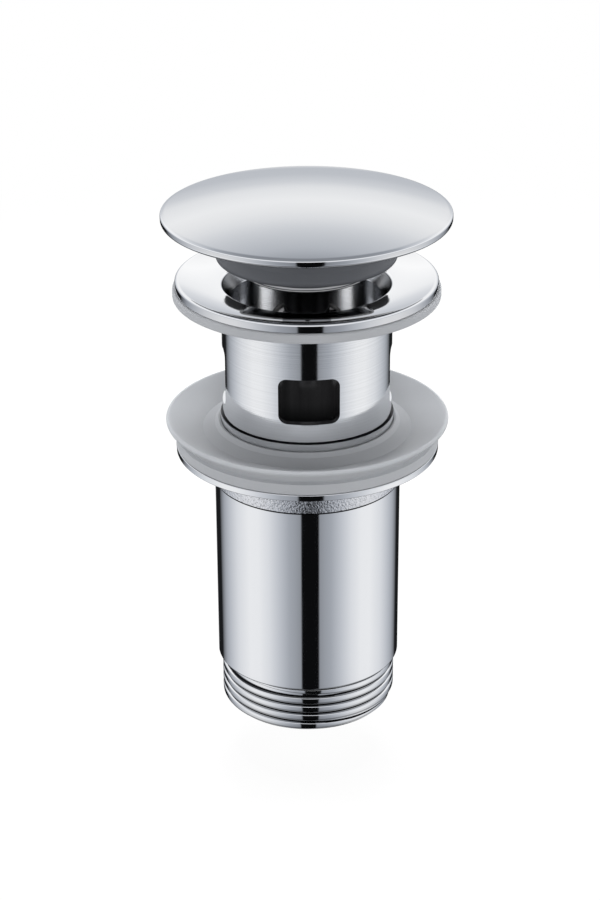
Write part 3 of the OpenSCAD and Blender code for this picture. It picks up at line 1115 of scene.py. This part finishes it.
@dataclass
class UpperBody:
    """The flanged body with its dished mouth and overflow windows, and its gasket.

    Attributes:
        levels: Places read from the frame.
        finishes: The part's materials.
        body_r: Outer radius of the body.
        bore_r: Radius of the bore.
        ledge: Width of the ledge at the foot of the bore.
        ledge_rise: Height of that ledge.
        joint_r: Radius of the stretch that screws into the tail.
        joint_len: Length of that stretch.
        edge: Bevel of the foot and of the dish's rim.
        flange_t: Thickness of the flange at its rim.
        flange_drop: Height of the cone under the flange.
        dish: Depth of the dished mouth.
        dish_sag: Hollow of the dish below a straight cone.
        mouth_r: Radius of the mouth at the dish.
        rim: Rounding of the flange's rim.
        lip: Rounding of the mouth.
        groove: Width and depth of the groove above the joint.
        throat: Height of the cone from the mouth to the bore.
        window_count: Number of overflow windows.
        window_w: Width of a window.
        window_h: Height of a window.
        window_r: Corner radius of a window.
        window_drop: Drop from the flange to a window's top.
        window_turn: Turn of the windows in degrees.
        gasket_round: Rounding of the gasket.
        gasket_gap: Gap between the gasket and the body.
        gasket_step: Distance from the body to the foot of the gasket's cone.
        gasket_seat: Gap between the gasket and the flange's cone.
    """

    levels: Levels
    finishes: Finishes
    body_r: float = 19.7 * MM
    bore_r: float = 17.9 * MM
    ledge: float = 0.8 * MM
    ledge_rise: float = 10.5 * MM
    joint_r: float = 20.2 * MM
    joint_len: float = 29.5 * MM
    edge: float = 0.4 * MM
    flange_t: float = 2.0 * MM
    flange_drop: float = 1.6 * MM
    dish: float = 1.4 * MM
    dish_sag: float = 0.25 * MM
    mouth_r: float = 19.8 * MM
    rim: float = 0.6 * MM
    lip: float = 0.5 * MM
    groove: float = 0.4 * MM
    throat: float = 3.4 * MM
    window_count: int = 4
    window_w: float = 13.9 * MM
    window_h: float = 10.9 * MM
    window_r: float = 2.0 * MM
    window_drop: float = 17.5 * MM
    window_turn: float = 1.3
    gasket_round: float = 0.6 * MM
    gasket_gap: float = 0.2 * MM
    gasket_step: float = 0.6 * MM
    gasket_seat: float = 0.05 * MM

    DISH_STEPS = 24
    CORNER_STEPS = 10
    WELD = 0.001 * MM

    def build(self) -> None:
        """Builds and dresses the body and its gasket."""
        dress(self.shell(), Body.UPPER, Slot.CHROME, "upper_body")
        dress(self.gasket(), Body.UPPER, Slot.PALE_RUBBER, "flange_gasket")

    def shell(self) -> Piece:
        """The turned body with the windows cut through it.

        Returns:
            The new piece.
        """
        at = self.levels
        top = at.flange_top
        mouth = top - self.dish
        root = top - self.flange_t - self.flange_drop
        joint_top = at.body_end + self.joint_len
        ledge_top = at.body_end + self.ledge_rise
        dish_rim = (at.flange_r - self.rim - self.edge, top - self.edge / 4)
        dish_foot = (self.mouth_r + self.lip, mouth)
        polished, turned, bore, bright, shade = range(5)
        outline = Outline(self.bore_r - self.ledge, at.body_end, turned)
        outline.to(self.joint_r - self.edge, at.body_end)
        outline.to(self.joint_r, at.body_end + self.edge)
        outline.to(self.joint_r, joint_top)
        # The groove above the joint is painted near-black: painted shade in the gap above the seal.
        outline.finish(shade).to(self.body_r - self.groove, joint_top)
        outline.to(self.body_r - self.groove, joint_top + self.groove)
        outline.to(self.body_r, joint_top + self.groove)
        outline.finish(turned).to(self.body_r, root)
        outline.finish(polished).to(at.flange_r, top - self.flange_t)
        outline.to(at.flange_r, top - self.rim)
        outline.arc((at.flange_r - self.rim, top - self.rim), self.rim, 0, 90)
        outline.finish(bright).curve(sagging(dish_rim, dish_foot, self.dish_sag), self.DISH_STEPS)
        outline.arc((self.mouth_r, mouth - self.lip), self.lip, 90, 180)
        outline.finish(bore).to(self.bore_r, mouth - self.lip - self.throat)
        outline.to(self.bore_r, ledge_top)
        outline.to(self.bore_r - self.ledge, ledge_top)
        paints = self.finishes
        finishes = [paints.polished, paints.turned, paints.bore, paints.bright, paints.shade]
        blank = turned_mesh("upper_body_blank", outline, finishes)
        return self._cut_windows(blank, top - self.window_drop - self.window_h / 2)

    def _cut_windows(self, blank: Piece, height: float) -> Piece:
        """Cuts the ring of overflow windows with Geometry Nodes.

        Args:
            blank: The turned body, which is used up.
            height: Height of the windows' middle.

        Returns:
            The body with its windows.
        """
        tree = GeometryTree("overflow_windows")
        nodes = tree.nodes
        spots = nodes.add("GeometryNodeMeshCircle", {
            "Vertices": tree.size("Window Count", self.window_count),
            "Radius": self.body_r / 3,
        }, fill_type="NONE")
        outwards = {"Vector": nodes.add("GeometryNodeInputPosition").outputs["Position"]}
        aim = nodes.add("FunctionNodeAlignRotationToVector", outwards, axis="Z", pivot_axis="AUTO")
        ring = nodes.add("GeometryNodeInstanceOnPoints", {
            "Points": spots.outputs["Mesh"],
            "Instance": self._punch(tree),
            "Rotation": aim.outputs["Rotation"],
        })
        lift = nodes.add("GeometryNodeTransform", {
            "Geometry": ring.outputs["Instances"],
            "Translation": (0.0, 0.0, height),
            "Rotation": (0.0, 0.0, math.radians(self.window_turn)),
        })
        solid = nodes.add("GeometryNodeRealizeInstances", {0: lift.outputs["Geometry"]})
        bite = nodes.add("GeometryNodeMeshBoolean", {
            "Mesh 1": tree.enter.outputs["Geometry"],
            "Mesh 2": solid.outputs[0],
        }, operation="DIFFERENCE", solver="EXACT")
        tree.close(bite.outputs["Mesh"], None)
        piece = tree.run("upper_body_shell", blank)
        piece.data.set_sharp_from_angle(angle=SHARP_ANGLE)
        return piece

    def _punch(self, tree: GeometryTree) -> Socket:
        """The closed block, of a window's shape, that is cut out of the wall.

        Args:
            tree: The windows' tree.

        Returns:
            The block's mesh socket.
        """
        nodes = tree.nodes
        frame = nodes.add("GeometryNodeCurvePrimitiveQuadrilateral", {
            "Width": tree.size("Window Width", self.window_w),
            "Height": tree.size("Window Height", self.window_h),
        }, mode="RECTANGLE")
        corner = tree.size("Corner Radius", self.window_r)
        rounded = tree.fillet(frame.outputs["Curve"], corner, self.CORNER_STEPS)
        face = nodes.add("GeometryNodeFillCurve", {"Curve": rounded}).outputs["Mesh"]
        block = nodes.add("GeometryNodeExtrudeMesh", {
            "Mesh": face,
            "Offset Scale": self.body_r,
            "Individual": False,
        })
        lid = nodes.add("GeometryNodeFlipFaces", {"Mesh": face})
        both = nodes.add("GeometryNodeJoinGeometry", {"Geometry": block.outputs["Mesh"]})
        nodes.feed(both, {"Geometry": lid.outputs["Mesh"]})
        weld = nodes.add("GeometryNodeMergeByDistance", {
            "Geometry": both.outputs["Geometry"],
            "Distance": self.WELD,
        })
        return weld.outputs["Geometry"]

    def gasket(self) -> Piece:
        """The pale gasket under the flange.

        Returns:
            The new piece.
        """
        at = self.levels
        edge = self.gasket_round
        inner = self.body_r + self.gasket_gap
        seat = at.flange_top - self.flange_t - self.flange_drop - self.gasket_seat
        outline = Outline(inner, at.gasket_low)
        outline.to(at.gasket_r - edge, at.gasket_low)
        outline.arc((at.gasket_r - edge, at.gasket_low + edge), edge, -90, 0)
        outline.to(at.gasket_r, at.gasket_top - edge)
        outline.arc((at.gasket_r - edge, at.gasket_top - edge), edge, 0, 90)
        outline.to(at.flange_r, at.gasket_top)
        outline.to(self.body_r + self.gasket_step, seat)
        outline.to(inner, seat)
        return turned_mesh("flange_gasket_ring", outline, [self.finishes.pale])


@dataclass
class LowerSeal:
    """The moulded seal with its flared lip, valley and inner cone.

    Attributes:
        levels: Places read from the frame.
        finishes: The part's materials.
        hole_r: Radius of the hole.
        base_r: Radius of the base.
        base_h: Height of the base.
        waist: Depth of the waist between the base and the lip.
        valley_r: Radius of the valley's bottom.
        valley_h: Height of the valley's bottom above the foot.
        neck_h: Height of the inner cone above the foot.
        tip: Rounding of the lip's tip.
        tip_from: Angle in degrees at which that rounding starts.
        tip_to: Angle in degrees at which it ends.
        top_sag: Hollow of the lip's top below a straight cone.
        cone_w: Width of the inner cone at its foot.
        cone_flat: Width of its flat top.
        cone_h: Height of its slope.
        edge: Rounding of the base.
    """

    levels: Levels
    finishes: Finishes
    hole_r: float = 20.3 * MM
    base_r: float = 30.7 * MM
    base_h: float = 3.0 * MM
    waist: float = 0.7 * MM
    valley_r: float = 24.5 * MM
    valley_h: float = 3.7 * MM
    neck_h: float = 5.9 * MM
    tip: float = 0.6 * MM
    tip_from: float = -45.0
    tip_to: float = 110.0
    top_sag: float = 0.35 * MM
    cone_w: float = 1.4 * MM
    cone_flat: float = 0.5 * MM
    cone_h: float = 0.9 * MM
    edge: float = 0.4 * MM

    TOP_STEPS = 20

    def build(self) -> None:
        """Builds and dresses the seal."""
        at = self.levels
        low = at.lower_low
        waist_r = self.base_r - self.waist
        tip = (at.lower_r - self.tip, at.lower_top - self.tip)
        side = math.radians(self.tip_from)
        top_rim = (at.lower_r - 2 * self.tip, at.lower_top - self.tip / 3)
        valley = (self.valley_r, low + self.valley_h)
        outline = Outline(self.hole_r, low)
        outline.to(self.base_r - self.edge, low)
        outline.arc((self.base_r - self.edge, low + self.edge), self.edge, -90, 0)
        outline.to(self.base_r, low + self.base_h - self.edge)
        outline.to(waist_r, low + self.base_h)
        outline.to(waist_r, low + self.base_h + self.edge / 2)
        outline.to(tip[0] + self.tip * math.cos(side), tip[1] + self.tip * math.sin(side))
        outline.arc(tip, self.tip, self.tip_from, self.tip_to)
        outline.curve(sagging(top_rim, valley, self.top_sag), self.TOP_STEPS)
        outline.to(self.hole_r + self.cone_w, low + self.neck_h - self.cone_h)
        outline.to(self.hole_r + self.cone_flat, low + self.neck_h)
        outline.to(self.hole_r, low + self.neck_h)
        piece = turned_mesh("lower_seal_moulding", outline, [self.finishes.pale])
        dress(piece, Body.CLAMP, Slot.PALE_RUBBER, "lower_seal")


@dataclass
class Tail:
    """The flanged tail with its cast neck, polished tube and thread.

    Attributes:
        levels: Places read from the frame.
        finishes: The part's materials.
        thread_r: Radius of the thread's crests.
        thread_len: Length of the threaded stretch.
        pitch: Pitch of the thread.
        depth: Depth of the thread.
        flank_angle: Angle of a flank in degrees.
        crest_round: Rounding of the crests.
        sunk: How far the ridge is sunk below the root.
        run_out: Share of the thread over which each end runs out.
        root_face: Upright share of a face's direction from which it counts as a flank, whose deep part gets
            the painted shade.
        tube_r: Radius of the polished tube.
        bore_r: Radius of the bore.
        neck_r: Radius of the cast neck.
        neck_h: Height of the cast neck.
        fillet: Fillet between the neck and the flange.
        flange_t: Thickness of the flange.
        joint_r: Radius of the socket for the body.
        joint_gap: Gap under the body's foot.
        groove: Width and depth of the groove under the neck.
        edge: Bevel and rounding of the edges.
        lead: Plain length at each end of the thread.
    """

    levels: Levels
    finishes: Finishes
    thread_r: float = 20.955 * MM
    thread_len: float = 12.2 * MM
    pitch: float = 2.309 * MM
    depth: float = 0.85 * MM
    flank_angle: float = 27.5
    crest_round: float = 0.25 * MM
    sunk: float = 0.4 * MM
    run_out: float = 0.06
    root_face: float = 0.5
    tube_r: float = 21.9 * MM
    bore_r: float = 17.7 * MM
    neck_r: float = 22.1 * MM
    neck_h: float = 7.4 * MM
    fillet: float = 2.4 * MM
    flange_t: float = 1.5 * MM
    joint_r: float = 20.25 * MM
    joint_gap: float = 0.3 * MM
    groove: float = 0.3 * MM
    edge: float = 0.4 * MM
    lead: float = 1.0 * MM

    def build(self) -> None:
        """Builds and dresses the tail and its thread."""
        dress(self.shell(), Body.TAIL, Slot.CHROME, "tail")
        dress(self.thread(), Body.TAIL, Slot.CHROME)

    def shell(self) -> Piece:
        """The turned tail, with the thread's root as a plain cylinder.

        Returns:
            The new piece.
        """
        at = self.levels
        flange_low = at.tail_top - self.flange_t
        neck_low = flange_low - self.neck_h
        root = self.thread_r - self.depth
        groove_r = self.tube_r - self.groove
        soft = self.edge / 2
        rim = at.tail_flange_r - soft
        socket_low = at.body_end - self.joint_gap
        polished, cast, bore, shade = range(4)
        outline = Outline(self.bore_r, 0.0, polished)
        outline.to(root - self.lead / 2, 0.0)
        outline.to(root, self.lead / 2)
        outline.to(root, self.thread_len)
        outline.to(self.tube_r - self.edge, self.thread_len)
        outline.arc((self.tube_r - self.edge, self.thread_len + self.edge), self.edge, -90, 0)
        outline.to(self.tube_r, neck_low - self.groove)
        # The groove under the neck is painted near-black: painted shade.
        outline.finish(shade).to(groove_r, neck_low - self.groove)
        outline.to(groove_r, neck_low)
        outline.to(self.neck_r, neck_low + self.groove / 2)
        outline.finish(cast).to(self.neck_r, flange_low - self.fillet)
        outline.arc((self.neck_r + self.fillet, flange_low - self.fillet), self.fillet, 180, 90)
        outline.to(rim, flange_low)
        outline.finish(polished).arc((rim, flange_low + soft), soft, -90, 0)
        outline.to(at.tail_flange_r, at.tail_top - soft)
        outline.arc((rim, at.tail_top - soft), soft, 0, 90)
        outline.to(self.joint_r + self.edge, at.tail_top)
        outline.to(self.joint_r, at.tail_top - self.edge)
        outline.finish(bore).to(self.joint_r, socket_low)
        outline.to(self.bore_r, socket_low)
        paints = self.finishes
        return turned_mesh("tail_shell", outline, [paints.polished, paints.cast, paints.bore, paints.shade])

    def thread(self) -> Piece:
        """The right-hand pipe thread, run out at both ends, with painted shade on the deep part of its
        flanks.

        Returns:
            The new piece.
        """
        slope = math.tan(math.radians(self.flank_angle))
        path_r = self.thread_r - self.depth - self.sunk / 2
        height = self.thread_r - path_r + self.sunk
        crest_w = self.pitch - 2 * self.depth * slope
        rise = self.thread_len - 2 * self.lead
        helix = RidgeHelix(
            name="tail_thread",
            radius=path_r,
            foot=self.lead,
            rise=rise,
            turns=rise / self.pitch,
            fade=self.run_out,
            crest_w=crest_w,
            root_w=crest_w + 2 * height * slope,
            height=height,
            sunk=self.sunk,
            rounding=self.crest_round,
        )
        ridge = helix.build(self.finishes.polished)
        # The deep part of each flank gets the near-black metal: painted shade in the thread's grooves.
        ridge.data.materials.append(self.finishes.shade)
        for face in ridge.data.polygons:
            deep = math.hypot(face.center.x, face.center.y) < self.thread_r - self.depth / 2
            if deep and abs(face.normal.z) > self.root_face:
                face.material_index = 1
        return ridge


@dataclass
class Cartridge:
    """The push cartridge: a swept spring, and finishes for the inner CAD nodes.

    Attributes:
        finishes: The part's materials.
        nodes: The CAD nodes by name.
        joints: The record's joints; not used.
        wire_r: Radius of the spring's wire.
        coil_r: Radius of the spring at the middle of its wire.
        turns: Turns of the spring.
    """

    finishes: Finishes
    nodes: dict[str, Piece]
    joints: list[dict[str, object]]
    wire_r: float = 0.45 * MM
    coil_r: float = 3.9 * MM
    turns: float = 8.0

    def build(self) -> None:
        """Builds the spring and paints the inner nodes."""
        self.spring()
        paints = {
            "plunger": self.finishes.polished,
            "cartridge_sleeve": self.finishes.jet,
            "spider": self.finishes.bore,
            "cartridge_base": self.finishes.brass,
            "lock_nut": self.finishes.brass,
            "lock_washer": self.finishes.steel,
            "guide_pins": self.finishes.steel,
            "rotor_clip": self.finishes.steel,
            "snap_ring": self.finishes.steel,
            "rotor": self.finishes.white,
            "guide_bush": self.finishes.white,
            "stem_ring": self.finishes.black,
        }
        for name, material in paints.items():
            self._paint(self.nodes[name], material)

    def spring(self) -> None:
        """Builds the spring over the height of the CAD spring."""
        low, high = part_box("spring")
        helix = WireHelix(
            name="lift_spring",
            radius=self.coil_r,
            foot=low.z + self.wire_r,
            rise=high.z - low.z - 2 * self.wire_r,
            turns=self.turns,
            fade=0.0,
            wire_r=self.wire_r,
        )
        spring = helix.build(self.finishes.steel)
        dress(spring, Body.UPPER, Slot.STEEL, "spring")
        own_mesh(spring)

    @staticmethod
    def _paint(node: Piece, material: Material) -> None:
        """Puts one finish on a CAD node.

        Args:
            node: The node.
            material: The finish.
        """
        node.data.materials.clear()
        node.data.materials.append(material)
        LOG.info("%s is finished in %s", node.name, material.name)


@dataclass(frozen=True)
class SoftBox:
    """A square soft box that shines on the object and isn't seen.

    Attributes:
        name: The lamp's name.
        azimuth: Direction in degrees, from the front towards the right.
        elevation: Height above the flange in degrees.
        side: Side of the box.
        power: Power in watts.
    """

    name: str
    azimuth: float
    elevation: float
    side: float
    power: float

    DISTANCE = 0.8

    def hang(self, target: Vector) -> None:
        """Hangs the lamp and aims it at a place.

        Args:
            target: The place.
        """
        turn = Euler((math.radians(-self.elevation), 0.0, math.radians(self.azimuth)), "XYZ")
        place = target + turn.to_matrix() @ Vector((0.0, -self.DISTANCE, 0.0))
        data = bpy.data.lights.new(self.name, "AREA")
        data.energy = self.power
        data.size = self.side
        lamp = linked(self.name, data)
        lamp.location = place
        lamp.rotation_euler = (target - place).to_track_quat("-Z", "Y").to_euler()
        lamp.visible_glossy = False
        lamp.visible_camera = False


@dataclass
class Studio:
    """The camera, the floor, the lamps and the tent that the chrome mirrors.

    Attributes:
        levels: Places read from the frame.
        distance: Distance of the camera in front of the axis.
        height: Height of the camera above the flange.
        pitch: Downward tilt of the camera in degrees.
        yaw: Turn of the camera to the left in degrees.
        roll: Lean of the camera in degrees.
        focal_px: Focal length in pixels of the image.
        image_h: Height of the image in pixels.
        sensor: Height of the camera's sensor in its own millimetres.
        near: Nearest distance that the camera sees.
        floor_half: Half of the floor's side.
        floor_gap: Drop of the floor below the object, so that the unscrewed tail stays above it.
        floor_tone: Grey of the floor.
        floor_glow: Strength of the floor's own light, other than to the camera.
        floor_share: Share of that light in the floor, other than to the camera.
        floor_white: Share of white in the floor near the object, to the camera.
        shadow_r: Radius on the floor in which the shadow shows in full.
        white_r: Radius on the floor from which it is white to the camera.
        tent_r: Radius of the reflection tent.
        tent_turn: Turn of the tent in degrees.
        tent_fall: Share of the tent's light that each further mirror bounce keeps.
        tent_soft: Share of the tent's light that matte pieces get by way of a mirror.
        gap_w: Half width of the dark gap in front, over half a turn.
        gap_top: Height above which the gap is closed, over the tent's radius.
        sky_from: Height at which the tent's sides end, over the tent's radius.
        sky_to: Height from which the tent's top shows alone, over the tent's radius.
    """

    levels: Levels
    distance: float = 475.6 * MM
    height: float = 177.6 * MM
    pitch: float = 24.955
    yaw: float = 0.208
    roll: float = -0.3
    focal_px: float = 2222.9
    image_h: float = 900.0
    sensor: float = 36.0
    near: float = 0.01
    floor_half: float = 6.0
    floor_gap: float = 15.5 * MM
    floor_tone: float = 0.88
    floor_glow: float = 0.17
    floor_share: float = 0.53
    floor_white: float = 0.92
    shadow_r: float = 0.15
    white_r: float = 0.45
    tent_r: float = 0.6
    tent_turn: float = 3.0
    tent_fall: float = 0.40
    tent_soft: float = 0.2
    gap_w: float = 0.06
    gap_top: float = 0.12
    sky_from: float = -0.22
    sky_to: float = -0.05

    # Grey of the tent's sides, by the turn from the front as a share of half a turn
    SIDES = (
        (0.0, 0.004), (0.056, 0.004), (0.064, 0.30), (0.10, 0.36), (0.142, 0.415), (0.214, 0.59),
        (0.289, 0.775), (0.367, 0.89), (0.444, 0.90), (0.55, 0.77), (0.658, 0.53), (0.711, 0.40),
        (0.761, 0.20), (0.794, 0.012), (0.917, 0.012), (0.955, 0.90),
    )
    # Grey of the tent's top, by height from the tent's foot to its top
    SKY = (
        (0.45, 0.550), (0.54, 0.594), (0.60, 0.722), (0.634, 0.875), (0.695, 0.990), (0.731, 0.938),
        (0.757, 0.866), (0.783, 0.737), (0.825, 0.558), (0.841, 0.407), (0.883, 0.275), (0.930, 0.250),
        (1.0, 0.55),
    )
    # Strength of the whole tent by the same height: dim underfoot, and a dim band below the horizon
    BANDS = ((0.125, 0.35), (0.1675, 1.0), (0.306, 1.0), (0.312, 0.82), (0.38, 0.82), (0.45, 1.0))
    SOFT_BOXES = (
        SoftBox("front_low", 0.0, 12.0, 0.4, 3.4),
        SoftBox("right_top", 60.0, 80.0, 0.2, 2.8),
        SoftBox("right_low", 90.0, 12.0, 0.4, 2.4),
        SoftBox("back_right_low", 135.0, 12.0, 0.4, 3.3),
        SoftBox("back_low", 180.0, 12.0, 0.4, 4.0),
        SoftBox("back_high", 180.0, 55.0, 0.3, 2.8),
        SoftBox("back_left_low", 225.0, 12.0, 0.4, 3.3),
        SoftBox("left_low", 270.0, 12.0, 0.4, 2.4),
        SoftBox("left_top", 300.0, 80.0, 0.2, 3.4),
    )

    def build(self) -> None:
        """Builds everything round the object."""
        self.camera()
        self.world()
        self.floor()
        self.tent()
        for box in self.SOFT_BOXES:
            box.hang(Vector((0.0, 0.0, self.levels.flange_top)))

    def camera(self) -> None:
        """Places the camera at the photograph's viewing angle."""
        data = bpy.data.cameras.new("camera")
        data.sensor_width = self.sensor
        data.lens = self.focal_px / self.image_h * self.sensor
        data.clip_start = self.near
        camera = linked("camera", data)
        camera.location = (0.0, -self.distance, self.levels.flange_top + self.height)
        aim = Euler((math.radians(90.0 - self.pitch), 0.0, math.radians(self.yaw)), "XYZ").to_quaternion()
        lean = Euler((0.0, 0.0, math.radians(self.roll)), "XYZ").to_quaternion()
        camera.rotation_euler = (aim @ lean).to_euler()
        bpy.context.scene.camera = camera

    def world(self) -> None:
        """White behind the object, to the camera, mirrors and glass, and no light on the object."""
        world = bpy.data.worlds.new("studio")
        world.use_nodes = True
        bpy.context.scene.world = world
        tree = NodeTree(world.node_tree)
        shade = world.node_tree.nodes["Background"]
        path = tree.add("ShaderNodeLightPath")
        seen = tree.math("MAXIMUM", path.outputs["Is Camera Ray"], path.outputs["Is Glossy Ray"])
        seen = tree.math("MAXIMUM", seen, path.outputs["Is Transmission Ray"])
        tree.feed(shade, {"Color": grey(1.0), "Strength": seen})

    def floor(self) -> None:
        """A pale floor that keeps a faint shadow and goes white towards the backdrop."""
        material, tree, out = stage_material("floor_white")
        matte = tree.add("ShaderNodeBsdfDiffuse", {"Color": grey(self.floor_tone)})
        seen = tree.add("ShaderNodeLightPath").outputs["Is Camera Ray"]
        place = tree.add("ShaderNodeNewGeometry").outputs["Position"]
        reach = tree.add("ShaderNodeVectorMath", {0: place}, operation="LENGTH").outputs["Value"]
        white = tree.spread(reach, (self.shadow_r, self.white_r), (self.floor_white, 1.0), soft=True)
        more = tree.math("MULTIPLY", seen, tree.math("SUBTRACT", white, self.floor_share))
        share = tree.math("ADD", more, self.floor_share)
        level = tree.spread(seen, (0.0, 1.0), (self.floor_glow, 1.0))
        glow = tree.add("ShaderNodeEmission", {"Strength": level})
        mix = tree.add("ShaderNodeMixShader", {"Fac": share, 1: matte.outputs[0], 2: glow.outputs[0]})
        tree.feed(out, {"Surface": mix.outputs[0]})
        shape = bmesh.new()
        bmesh.ops.create_grid(shape, x_segments=1, y_segments=1, size=self.floor_half)
        bmesh.ops.translate(shape, vec=(0.0, 0.0, -self.floor_gap), verts=shape.verts)
        floor = finished("floor", shape, [material])
        floor.visible_glossy = False

    def tent(self) -> None:
        """A round tent that only mirrors see: pale sides, dark gaps in front and behind."""
        material, tree, out = stage_material("tent_cloth")
        place = tree.add("ShaderNodeNewGeometry").outputs["Position"]
        split = tree.add("ShaderNodeSeparateXYZ", {0: place})
        front = tree.math("MULTIPLY", split.outputs["Y"], -1.0)
        angle = tree.math("ARCTAN2", split.outputs["X"], front)
        turn = tree.math("ABSOLUTE", tree.math("SUBTRACT", angle, math.radians(self.tent_turn)))
        around = tree.math("DIVIDE", turn, math.pi)
        lift = tree.math("SUBTRACT", split.outputs["Z"], self.levels.flange_top)
        height = tree.math("DIVIDE", lift, self.tent_r)
        share = tree.spread(height, (-1.0, 1.0), (0.0, 1.0))
        above = tree.spread(height, (self.sky_from, self.sky_to), (0.0, 1.0), soft=True)
        beside = tree.math("GREATER_THAN", around, self.gap_w)
        over = tree.math("GREATER_THAN", height, self.gap_top)
        lit = tree.math("MULTIPLY", above, tree.math("MAXIMUM", beside, over))
        cloth = tree.tone(lit, tree.ramp(around, self.SIDES), tree.ramp(share, self.SKY))
        path = tree.add("ShaderNodeLightPath")
        further = tree.math("MAXIMUM", tree.math("SUBTRACT", path.outputs["Glossy Depth"], 1.0), 0.0)
        kept = tree.math("POWER", self.tent_fall, further)
        soft = tree.math("POWER", self.tent_soft, path.outputs["Diffuse Depth"])
        strength = tree.math("MULTIPLY", tree.math("MULTIPLY", kept, soft), tree.ramp(share, self.BANDS))
        glow = tree.add("ShaderNodeEmission", {"Color": cloth, "Strength": strength})
        tree.feed(out, {"Surface": glow.outputs[0]})
        shape = bmesh.new()
        bmesh.ops.create_uvsphere(shape, u_segments=64, v_segments=32, radius=self.tent_r)
        tent = finished("tent", shape, [material])
        tent.visible_camera = False
        tent.visible_diffuse = False
        tent.visible_shadow = False
        tent.visible_transmission = False


def main() -> None:
    """Builds the pieces in order."""
    logging.basicConfig(level=logging.INFO, format="%(name)s: %(message)s")
    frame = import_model()
    bpy.context.scene.view_settings.view_transform = "Standard"
    finishes = Finishes()
    levels = Levels.read()
    Studio(levels).build()
    Plug(levels, finishes).build()
    UpperBody(levels, finishes).build()
    LowerSeal(levels, finishes).build()
    Tail(levels, finishes).build()
    Cartridge(finishes, frame["nodes"], frame["joints"]).build()


if __name__ == "__main__":
    main()
